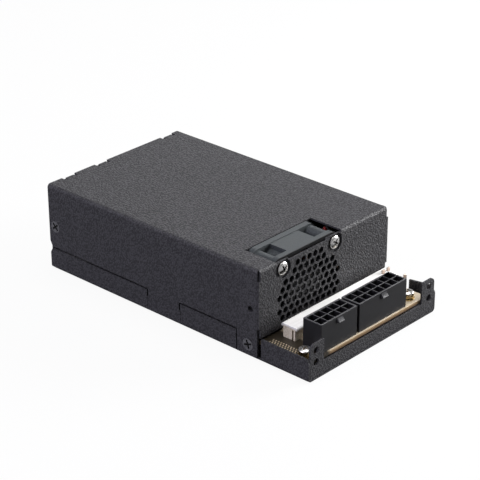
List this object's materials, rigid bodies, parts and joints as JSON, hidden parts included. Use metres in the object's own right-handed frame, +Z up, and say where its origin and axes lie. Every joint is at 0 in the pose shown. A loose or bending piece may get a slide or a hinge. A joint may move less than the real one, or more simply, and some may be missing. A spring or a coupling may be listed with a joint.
{
  "type": "flex atx power supply",
  "caption": "Low rectangular metal-cased computer power supply with an open output tray of upright pin headers, a perforated panel over a small axial fan and a recessed mains inlet.",
  "frame": {"origin": "centre of the case's footprint, on its bottom face", "axes": "+X to the right seen from the output tray, +Y from the output tray to the mains inlet, +Z up"},
  "size_m": [0.0816, 0.15, 0.0405],
  "materials": {
    "case_black": "fine-textured black powder coat",
    "black_steel": "black oxide",
    "zinc_steel": "bright zinc plate",
    "fan_plastic": "moulded, satin",
    "bush_bronze": "sintered bronze",
    "shaft_steel": "ground",
    "green_board": "solder mask",
    "lamination": "stacked steel sheet",
    "copper_wire": "enamelled copper",
    "ferrite": "dark sintered ferrite",
    "tan_board": "bare glass laminate with solder dots",
    "header_plastic": "moulded, satin",
    "tinned_pin": "bright tin plate",
    "brass_post": "turned",
    "white_plastic": "moulded, satin",
    "beige_plastic": "moulded, matt",
    "bus_metal": "tarnished copper",
    "clear_sheet": "polyester sheet",
    "black_sleeve": "shrunk sleeve",
    "yellow_tape": "wound tape",
    "sink_aluminium": "extruded",
    "package_epoxy": "moulded epoxy",
    "film_yellow": "moulded box",
    "disc_blue": "dipped",
    "fuse_ceramic": "glazed tube with plated ends",
    "inlet_plastic": "moulded, matt",
    "wire_brown": "insulated wire",
    "wire_blue": "insulated wire",
    "wire_green": "insulated wire",
    "lead_red": "insulated wire",
    "lead_black": "insulated wire"
  },
  "bodies": {
    "supply": {"base_pan": "case_black", "top_cover": "case_black", "cover_screws": "black_steel", "fan_frame": "fan_plastic", "fan_bearing": "bush_bronze", "fan_drive_board": "green_board", "fan_stator": "lamination", "fan_coils": "copper_wire", "fan_screws": "zinc_steel", "output_board": "tan_board", "output_header_10_way": "header_plastic", "header_pins_10_way": "tinned_pin", "output_header_14_way": "header_plastic", "header_pins_14_way": "tinned_pin", "tray_standoffs": "brass_post", "tray_screws": "zinc_steel", "tray_lock_washers": "zinc_steel", "main_standoffs": "brass_post", "main_board_screws": "zinc_steel", "main_lock_washers": "zinc_steel", "bus_cap": "white_plastic", "bus_core": "beige_plastic", "bus_posts": "bus_metal", "bus_bars": "bus_metal", "main_board": "tan_board", "insulating_sheet": "clear_sheet", "bulk_capacitor": "black_sleeve", "output_capacitors": "black_sleeve", "transformer_core": "ferrite", "transformer_winding": "yellow_tape", "standby_transformer": "yellow_tape", "secondary_heatsink": "sink_aluminium", "secondary_rectifiers": "package_epoxy", "primary_heatsink": "sink_aluminium", "switching_transistors": "package_epoxy", "bridge_rectifier": "package_epoxy", "emi_choke_core": "ferrite", "emi_choke_winding": "copper_wire", "pfc_choke_core": "ferrite", "pfc_choke_winding": "copper_wire", "output_inductor_core": "ferrite", "output_inductor_winding": "copper_wire", "x_capacitor": "film_yellow", "y_capacitors": "disc_blue", "fuse": "fuse_ceramic", "inlet_housing": "inlet_plastic", "inlet_pins": "tinned_pin", "inlet_screws": "black_steel", "earth_lug": "brass_post", "earth_screw": "zinc_steel", "live_wire": "wire_brown", "neutral_wire": "wire_blue", "earth_wire": "wire_green", "fan_plug": "white_plastic", "fan_lead_red": "lead_red", "fan_lead_black": "lead_black"},
    "rotor": {"fan_rotor": "fan_plastic", "fan_shaft": "shaft_steel", "fan_magnet": "ferrite"}
  },
  "joints": [
    {"name": "fan_spin", "type": "hinge", "parent": "supply", "child": "rotor", "pos_m": [-0.0102, -0.0395, 0.02025], "axis": [0, 1, 0], "continuous": true}
  ]
}
